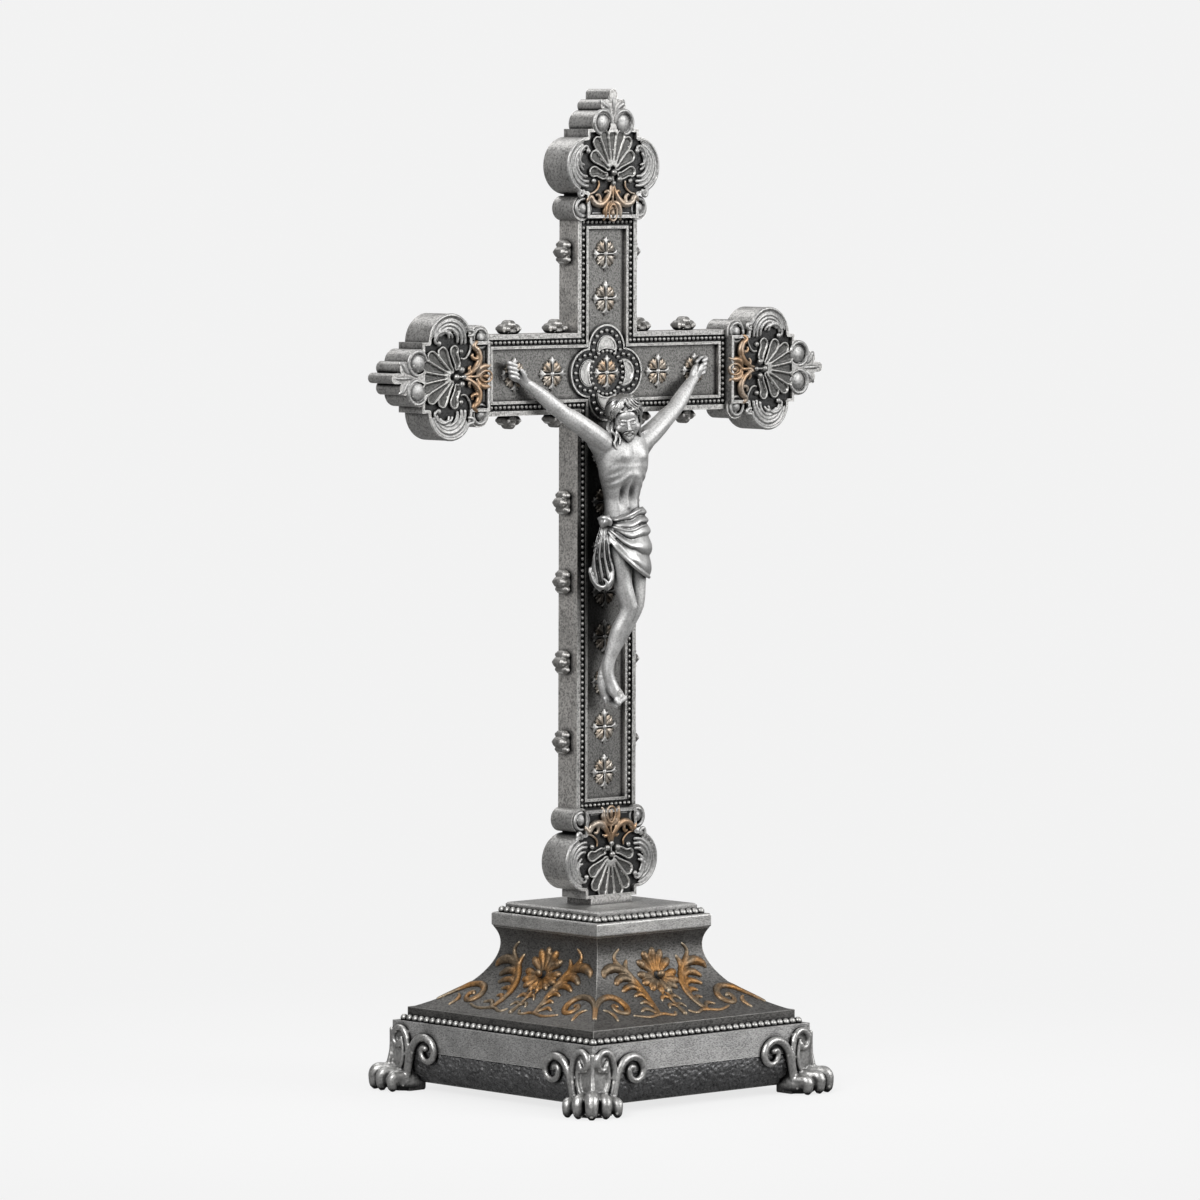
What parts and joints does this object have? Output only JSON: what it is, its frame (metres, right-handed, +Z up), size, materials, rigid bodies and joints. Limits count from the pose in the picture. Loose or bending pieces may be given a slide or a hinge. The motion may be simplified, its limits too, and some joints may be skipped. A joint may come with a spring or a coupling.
{
  "type": "standing crucifix",
  "caption": "Standing altar crucifix in antique silver: beaded cross with lobed ends and a figure, on a square flared base with lion-paw feet.",
  "frame": {"origin": "middle of the base, on the table under the paws", "axes": "+Z up along the shaft, -Y out of the front, +X along the arms to the viewer's right"},
  "size_m": [0.1748, 0.1032, 0.3],
  "materials": {
    "antique_silver": "satin",
    "gilt": "satin",
    "steel": "satin"
  },
  "bodies": {
    "root": {"border_beads": "antique_silver", "cap_block": "antique_silver", "corpus": "antique_silver", "crocket_arm_left_top_1": "antique_silver", "crocket_arm_left_top_2": "antique_silver", "crocket_arm_left_under_1": "antique_silver", "crocket_arm_left_under_2": "antique_silver", "crocket_arm_right_top_1": "antique_silver", "crocket_arm_right_top_2": "antique_silver", "crocket_arm_right_under_1": "antique_silver", "crocket_arm_right_under_2": "antique_silver", "crocket_shaft_left_1": "antique_silver", "crocket_shaft_left_2": "antique_silver", "crocket_shaft_left_3": "antique_silver", "crocket_shaft_left_4": "antique_silver", "crocket_shaft_left_5": "antique_silver", "crocket_shaft_right_1": "antique_silver", "crocket_shaft_right_2": "antique_silver", "crocket_shaft_right_3": "antique_silver", "crocket_shaft_right_4": "antique_silver", "crocket_shaft_right_5": "antique_silver", "cross_body": "antique_silver", "finial_bottom": "antique_silver", "finial_dowels": "steel", "finial_left": "antique_silver", "finial_right": "antique_silver", "finial_top": "antique_silver", "foot_nail": "antique_silver", "foot_screws": "steel", "gilt_bud_bottom": "gilt", "gilt_bud_left": "gilt", "gilt_bud_right": "gilt", "gilt_bud_top": "gilt", "hand_nail_left": "antique_silver", "hand_nail_right": "antique_silver", "lower_bead_course": "antique_silver", "medallion": "antique_silver", "medallion_beads": "antique_silver", "palmette_bottom": "antique_silver", "palmette_left": "antique_silver", "palmette_right": "antique_silver", "palmette_top": "antique_silver", "paw_foot_back_left": "antique_silver", "paw_foot_back_right": "antique_silver", "paw_foot_front_left": "antique_silver", "paw_foot_front_right": "antique_silver", "platform": "antique_silver", "plinth_skirt": "antique_silver", "rosette_centre": "gilt", "rosettes_left_arm": "gilt", "rosettes_lower": "gilt", "rosettes_right_arm": "gilt", "rosettes_upper": "gilt", "scotia_body": "antique_silver", "tie_rod": "steel", "tie_rod_nut": "steel", "tie_rod_washer": "steel", "upper_bead_course": "antique_silver"}
  },
  "joints": []
}
